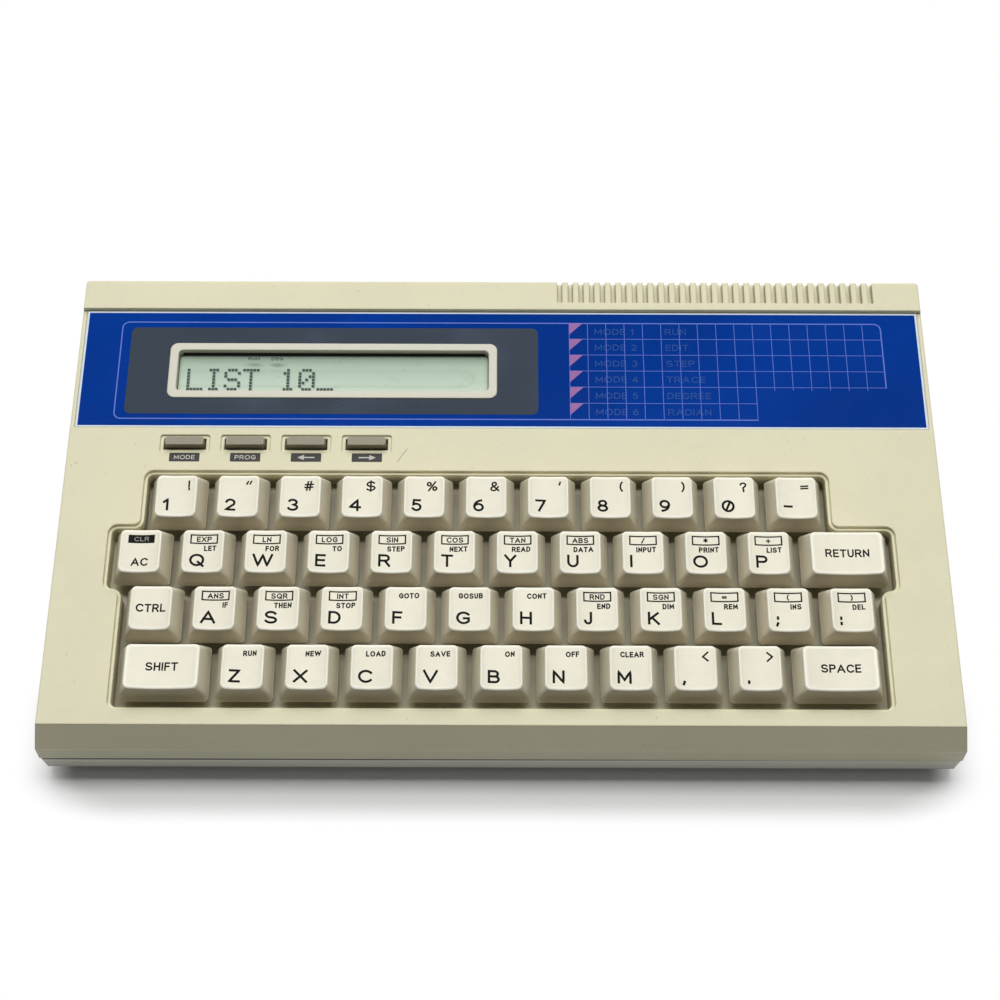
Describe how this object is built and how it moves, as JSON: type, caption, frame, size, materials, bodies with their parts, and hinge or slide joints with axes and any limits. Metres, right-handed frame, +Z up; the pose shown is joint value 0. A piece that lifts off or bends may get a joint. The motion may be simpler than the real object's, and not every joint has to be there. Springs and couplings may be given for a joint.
{
  "type": "vintage home computer",
  "caption": "Wedge-shaped home computer with sliding keycaps in a stepped well, a one-line liquid-crystal display in a wide panel, small function buttons and a vented hood.",
  "frame": {"origin": "middle of the footprint at the level of the feet, which stand on the table", "axes": "+Z up, +X to the user's right along the case, +Y away from the user towards the hood"},
  "size_m": [0.2764, 0.16, 0.0402],
  "materials": {
    "case_plastic": "fine spark-textured cream ABS, slightly satin",
    "key_plastic": "smooth satin ivory ABS",
    "button_plastic": "satin olive-grey ABS",
    "panel_acrylic": "clear acrylic, printed blue on the back",
    "display_glass": "reflective grey-green liquid-crystal glass",
    "board": "green solder mask",
    "silicone": "matt translucent silicone",
    "battery_jacket": "printed steel jacket",
    "screw_steel": "zinc-plated steel",
    "switch_plastic": "black acetal"
  },
  "bodies": {
    "case": {"upper_case": "case_plastic", "lower_case": "case_plastic", "display_panel": "panel_acrylic", "lcd_module": "display_glass", "circuit_board": "board", "dome_mat": "silicone", "battery_set": "battery_jacket", "screws": "screw_steel"},
    "battery_door": {"battery_door": "case_plastic"},
    "power_switch": {"power_switch": "switch_plastic"},
    "button_mode": {"button_mode": "button_plastic"},
    "button_program": {"button_program": "button_plastic"},
    "button_left": {"button_left": "button_plastic"},
    "button_right": {"button_right": "button_plastic"},
    "key_1": {"key_1": "key_plastic"},
    "key_2": {"key_2": "key_plastic"},
    "key_3": {"key_3": "key_plastic"},
    "key_4": {"key_4": "key_plastic"},
    "key_5": {"key_5": "key_plastic"},
    "key_6": {"key_6": "key_plastic"},
    "key_7": {"key_7": "key_plastic"},
    "key_8": {"key_8": "key_plastic"},
    "key_9": {"key_9": "key_plastic"},
    "key_0": {"key_0": "key_plastic"},
    "key_minus": {"key_minus": "key_plastic"},
    "key_ac": {"key_ac": "key_plastic"},
    "key_q": {"key_q": "key_plastic"},
    "key_w": {"key_w": "key_plastic"},
    "key_e": {"key_e": "key_plastic"},
    "key_r": {"key_r": "key_plastic"},
    "key_t": {"key_t": "key_plastic"},
    "key_y": {"key_y": "key_plastic"},
    "key_u": {"key_u": "key_plastic"},
    "key_i": {"key_i": "key_plastic"},
    "key_o": {"key_o": "key_plastic"},
    "key_p": {"key_p": "key_plastic"},
    "key_return": {"key_return": "key_plastic"},
    "key_ctrl": {"key_ctrl": "key_plastic"},
    "key_a": {"key_a": "key_plastic"},
    "key_s": {"key_s": "key_plastic"},
    "key_d": {"key_d": "key_plastic"},
    "key_f": {"key_f": "key_plastic"},
    "key_g": {"key_g": "key_plastic"},
    "key_h": {"key_h": "key_plastic"},
    "key_j": {"key_j": "key_plastic"},
    "key_k": {"key_k": "key_plastic"},
    "key_l": {"key_l": "key_plastic"},
    "key_semicolon": {"key_semicolon": "key_plastic"},
    "key_colon": {"key_colon": "key_plastic"},
    "key_shift": {"key_shift": "key_plastic"},
    "key_z": {"key_z": "key_plastic"},
    "key_x": {"key_x": "key_plastic"},
    "key_c": {"key_c": "key_plastic"},
    "key_v": {"key_v": "key_plastic"},
    "key_b": {"key_b": "key_plastic"},
    "key_n": {"key_n": "key_plastic"},
    "key_m": {"key_m": "key_plastic"},
    "key_comma": {"key_comma": "key_plastic"},
    "key_period": {"key_period": "key_plastic"},
    "key_space": {"key_space": "key_plastic"}
  },
  "joints": [
    {"name": "battery_door_slide", "type": "slide", "parent": "case", "child": "battery_door", "axis": [0, 1, 0], "range_m": [0, 0.03]},
    {"name": "power_switch_slide", "type": "slide", "parent": "case", "child": "power_switch", "axis": [1, 0, 0], "range_m": [0, 0.004]},
    {"name": "button_mode_press", "type": "slide", "parent": "case", "child": "button_mode", "axis": [0, 0.0872, -0.9962], "range_m": [0, 0.0012], "stiffness_N_per_m": 400, "springref_m": -0.001, "deforming": ["dome_mat"]},
    {"name": "button_program_press", "type": "slide", "parent": "case", "child": "button_program", "axis": [0, 0.0872, -0.9962], "range_m": [0, 0.0012], "stiffness_N_per_m": 400, "springref_m": -0.001, "deforming": ["dome_mat"]},
    {"name": "button_left_press", "type": "slide", "parent": "case", "child": "button_left", "axis": [0, 0.0872, -0.9962], "range_m": [0, 0.0012], "stiffness_N_per_m": 400, "springref_m": -0.001, "deforming": ["dome_mat"]},
    {"name": "button_right_press", "type": "slide", "parent": "case", "child": "button_right", "axis": [0, 0.0872, -0.9962], "range_m": [0, 0.0012], "stiffness_N_per_m": 400, "springref_m": -0.001, "deforming": ["dome_mat"]},
    {"name": "key_1_press", "type": "slide", "parent": "case", "child": "key_1", "axis": [0, 0.0872, -0.9962], "range_m": [0, 0.0035], "stiffness_N_per_m": 180, "springref_m": -0.002, "deforming": ["dome_mat"]},
    {"name": "key_2_press", "type": "slide", "parent": "case", "child": "key_2", "axis": [0, 0.0872, -0.9962], "range_m": [0, 0.0035], "stiffness_N_per_m": 180, "springref_m": -0.002, "deforming": ["dome_mat"]},
    {"name": "key_3_press", "type": "slide", "parent": "case", "child": "key_3", "axis": [0, 0.0872, -0.9962], "range_m": [0, 0.0035], "stiffness_N_per_m": 180, "springref_m": -0.002, "deforming": ["dome_mat"]},
    {"name": "key_4_press", "type": "slide", "parent": "case", "child": "key_4", "axis": [0, 0.0872, -0.9962], "range_m": [0, 0.0035], "stiffness_N_per_m": 180, "springref_m": -0.002, "deforming": ["dome_mat"]},
    {"name": "key_5_press", "type": "slide", "parent": "case", "child": "key_5", "axis": [0, 0.0872, -0.9962], "range_m": [0, 0.0035], "stiffness_N_per_m": 180, "springref_m": -0.002, "deforming": ["dome_mat"]},
    {"name": "key_6_press", "type": "slide", "parent": "case", "child": "key_6", "axis": [0, 0.0872, -0.9962], "range_m": [0, 0.0035], "stiffness_N_per_m": 180, "springref_m": -0.002, "deforming": ["dome_mat"]},
    {"name": "key_7_press", "type": "slide", "parent": "case", "child": "key_7", "axis": [0, 0.0872, -0.9962], "range_m": [0, 0.0035], "stiffness_N_per_m": 180, "springref_m": -0.002, "deforming": ["dome_mat"]},
    {"name": "key_8_press", "type": "slide", "parent": "case", "child": "key_8", "axis": [0, 0.0872, -0.9962], "range_m": [0, 0.0035], "stiffness_N_per_m": 180, "springref_m": -0.002, "deforming": ["dome_mat"]},
    {"name": "key_9_press", "type": "slide", "parent": "case", "child": "key_9", "axis": [0, 0.0872, -0.9962], "range_m": [0, 0.0035], "stiffness_N_per_m": 180, "springref_m": -0.002, "deforming": ["dome_mat"]},
    {"name": "key_0_press", "type": "slide", "parent": "case", "child": "key_0", "axis": [0, 0.0872, -0.9962], "range_m": [0, 0.0035], "stiffness_N_per_m": 180, "springref_m": -0.002, "deforming": ["dome_mat"]},
    {"name": "key_minus_press", "type": "slide", "parent": "case", "child": "key_minus", "axis": [0, 0.0872, -0.9962], "range_m": [0, 0.0035], "stiffness_N_per_m": 180, "springref_m": -0.002, "deforming": ["dome_mat"]},
    {"name": "key_ac_press", "type": "slide", "parent": "case", "child": "key_ac", "axis": [0, 0.0872, -0.9962], "range_m": [0, 0.0035], "stiffness_N_per_m": 180, "springref_m": -0.002, "deforming": ["dome_mat"]},
    {"name": "key_q_press", "type": "slide", "parent": "case", "child": "key_q", "axis": [0, 0.0872, -0.9962], "range_m": [0, 0.0035], "stiffness_N_per_m": 180, "springref_m": -0.002, "deforming": ["dome_mat"]},
    {"name": "key_w_press", "type": "slide", "parent": "case", "child": "key_w", "axis": [0, 0.0872, -0.9962], "range_m": [0, 0.0035], "stiffness_N_per_m": 180, "springref_m": -0.002, "deforming": ["dome_mat"]},
    {"name": "key_e_press", "type": "slide", "parent": "case", "child": "key_e", "axis": [0, 0.0872, -0.9962], "range_m": [0, 0.0035], "stiffness_N_per_m": 180, "springref_m": -0.002, "deforming": ["dome_mat"]},
    {"name": "key_r_press", "type": "slide", "parent": "case", "child": "key_r", "axis": [0, 0.0872, -0.9962], "range_m": [0, 0.0035], "stiffness_N_per_m": 180, "springref_m": -0.002, "deforming": ["dome_mat"]},
    {"name": "key_t_press", "type": "slide", "parent": "case", "child": "key_t", "axis": [0, 0.0872, -0.9962], "range_m": [0, 0.0035], "stiffness_N_per_m": 180, "springref_m": -0.002, "deforming": ["dome_mat"]},
    {"name": "key_y_press", "type": "slide", "parent": "case", "child": "key_y", "axis": [0, 0.0872, -0.9962], "range_m": [0, 0.0035], "stiffness_N_per_m": 180, "springref_m": -0.002, "deforming": ["dome_mat"]},
    {"name": "key_u_press", "type": "slide", "parent": "case", "child": "key_u", "axis": [0, 0.0872, -0.9962], "range_m": [0, 0.0035], "stiffness_N_per_m": 180, "springref_m": -0.002, "deforming": ["dome_mat"]},
    {"name": "key_i_press", "type": "slide", "parent": "case", "child": "key_i", "axis": [0, 0.0872, -0.9962], "range_m": [0, 0.0035], "stiffness_N_per_m": 180, "springref_m": -0.002, "deforming": ["dome_mat"]},
    {"name": "key_o_press", "type": "slide", "parent": "case", "child": "key_o", "axis": [0, 0.0872, -0.9962], "range_m": [0, 0.0035], "stiffness_N_per_m": 180, "springref_m": -0.002, "deforming": ["dome_mat"]},
    {"name": "key_p_press", "type": "slide", "parent": "case", "child": "key_p", "axis": [0, 0.0872, -0.9962], "range_m": [0, 0.0035], "stiffness_N_per_m": 180, "springref_m": -0.002, "deforming": ["dome_mat"]},
    {"name": "key_return_press", "type": "slide", "parent": "case", "child": "key_return", "axis": [0, 0.0872, -0.9962], "range_m": [0, 0.0035], "stiffness_N_per_m": 180, "springref_m": -0.002, "deforming": ["dome_mat"]},
    {"name": "key_ctrl_press", "type": "slide", "parent": "case", "child": "key_ctrl", "axis": [0, 0.0872, -0.9962], "range_m": [0, 0.0035], "stiffness_N_per_m": 180, "springref_m": -0.002, "deforming": ["dome_mat"]},
    {"name": "key_a_press", "type": "slide", "parent": "case", "child": "key_a", "axis": [0, 0.0872, -0.9962], "range_m": [0, 0.0035], "stiffness_N_per_m": 180, "springref_m": -0.002, "deforming": ["dome_mat"]},
    {"name": "key_s_press", "type": "slide", "parent": "case", "child": "key_s", "axis": [0, 0.0872, -0.9962], "range_m": [0, 0.0035], "stiffness_N_per_m": 180, "springref_m": -0.002, "deforming": ["dome_mat"]},
    {"name": "key_d_press", "type": "slide", "parent": "case", "child": "key_d", "axis": [0, 0.0872, -0.9962], "range_m": [0, 0.0035], "stiffness_N_per_m": 180, "springref_m": -0.002, "deforming": ["dome_mat"]},
    {"name": "key_f_press", "type": "slide", "parent": "case", "child": "key_f", "axis": [0, 0.0872, -0.9962], "range_m": [0, 0.0035], "stiffness_N_per_m": 180, "springref_m": -0.002, "deforming": ["dome_mat"]},
    {"name": "key_g_press", "type": "slide", "parent": "case", "child": "key_g", "axis": [0, 0.0872, -0.9962], "range_m": [0, 0.0035], "stiffness_N_per_m": 180, "springref_m": -0.002, "deforming": ["dome_mat"]},
    {"name": "key_h_press", "type": "slide", "parent": "case", "child": "key_h", "axis": [0, 0.0872, -0.9962], "range_m": [0, 0.0035], "stiffness_N_per_m": 180, "springref_m": -0.002, "deforming": ["dome_mat"]},
    {"name": "key_j_press", "type": "slide", "parent": "case", "child": "key_j", "axis": [0, 0.0872, -0.9962], "range_m": [0, 0.0035], "stiffness_N_per_m": 180, "springref_m": -0.002, "deforming": ["dome_mat"]},
    {"name": "key_k_press", "type": "slide", "parent": "case", "child": "key_k", "axis": [0, 0.0872, -0.9962], "range_m": [0, 0.0035], "stiffness_N_per_m": 180, "springref_m": -0.002, "deforming": ["dome_mat"]},
    {"name": "key_l_press", "type": "slide", "parent": "case", "child": "key_l", "axis": [0, 0.0872, -0.9962], "range_m": [0, 0.0035], "stiffness_N_per_m": 180, "springref_m": -0.002, "deforming": ["dome_mat"]},
    {"name": "key_semicolon_press", "type": "slide", "parent": "case", "child": "key_semicolon", "axis": [0, 0.0872, -0.9962], "range_m": [0, 0.0035], "stiffness_N_per_m": 180, "springref_m": -0.002, "deforming": ["dome_mat"]},
    {"name": "key_colon_press", "type": "slide", "parent": "case", "child": "key_colon", "axis": [0, 0.0872, -0.9962], "range_m": [0, 0.0035], "stiffness_N_per_m": 180, "springref_m": -0.002, "deforming": ["dome_mat"]},
    {"name": "key_shift_press", "type": "slide", "parent": "case", "child": "key_shift", "axis": [0, 0.0872, -0.9962], "range_m": [0, 0.0035], "stiffness_N_per_m": 180, "springref_m": -0.002, "deforming": ["dome_mat"]},
    {"name": "key_z_press", "type": "slide", "parent": "case", "child": "key_z", "axis": [0, 0.0872, -0.9962], "range_m": [0, 0.0035], "stiffness_N_per_m": 180, "springref_m": -0.002, "deforming": ["dome_mat"]},
    {"name": "key_x_press", "type": "slide", "parent": "case", "child": "key_x", "axis": [0, 0.0872, -0.9962], "range_m": [0, 0.0035], "stiffness_N_per_m": 180, "springref_m": -0.002, "deforming": ["dome_mat"]},
    {"name": "key_c_press", "type": "slide", "parent": "case", "child": "key_c", "axis": [0, 0.0872, -0.9962], "range_m": [0, 0.0035], "stiffness_N_per_m": 180, "springref_m": -0.002, "deforming": ["dome_mat"]},
    {"name": "key_v_press", "type": "slide", "parent": "case", "child": "key_v", "axis": [0, 0.0872, -0.9962], "range_m": [0, 0.0035], "stiffness_N_per_m": 180, "springref_m": -0.002, "deforming": ["dome_mat"]},
    {"name": "key_b_press", "type": "slide", "parent": "case", "child": "key_b", "axis": [0, 0.0872, -0.9962], "range_m": [0, 0.0035], "stiffness_N_per_m": 180, "springref_m": -0.002, "deforming": ["dome_mat"]},
    {"name": "key_n_press", "type": "slide", "parent": "case", "child": "key_n", "axis": [0, 0.0872, -0.9962], "range_m": [0, 0.0035], "stiffness_N_per_m": 180, "springref_m": -0.002, "deforming": ["dome_mat"]},
    {"name": "key_m_press", "type": "slide", "parent": "case", "child": "key_m", "axis": [0, 0.0872, -0.9962], "range_m": [0, 0.0035], "stiffness_N_per_m": 180, "springref_m": -0.002, "deforming": ["dome_mat"]},
    {"name": "key_comma_press", "type": "slide", "parent": "case", "child": "key_comma", "axis": [0, 0.0872, -0.9962], "range_m": [0, 0.0035], "stiffness_N_per_m": 180, "springref_m": -0.002, "deforming": ["dome_mat"]},
    {"name": "key_period_press", "type": "slide", "parent": "case", "child": "key_period", "axis": [0, 0.0872, -0.9962], "range_m": [0, 0.0035], "stiffness_N_per_m": 180, "springref_m": -0.002, "deforming": ["dome_mat"]},
    {"name": "key_space_press", "type": "slide", "parent": "case", "child": "key_space", "axis": [0, 0.0872, -0.9962], "range_m": [0, 0.0035], "stiffness_N_per_m": 180, "springref_m": -0.002, "deforming": ["dome_mat"]}
  ]
}
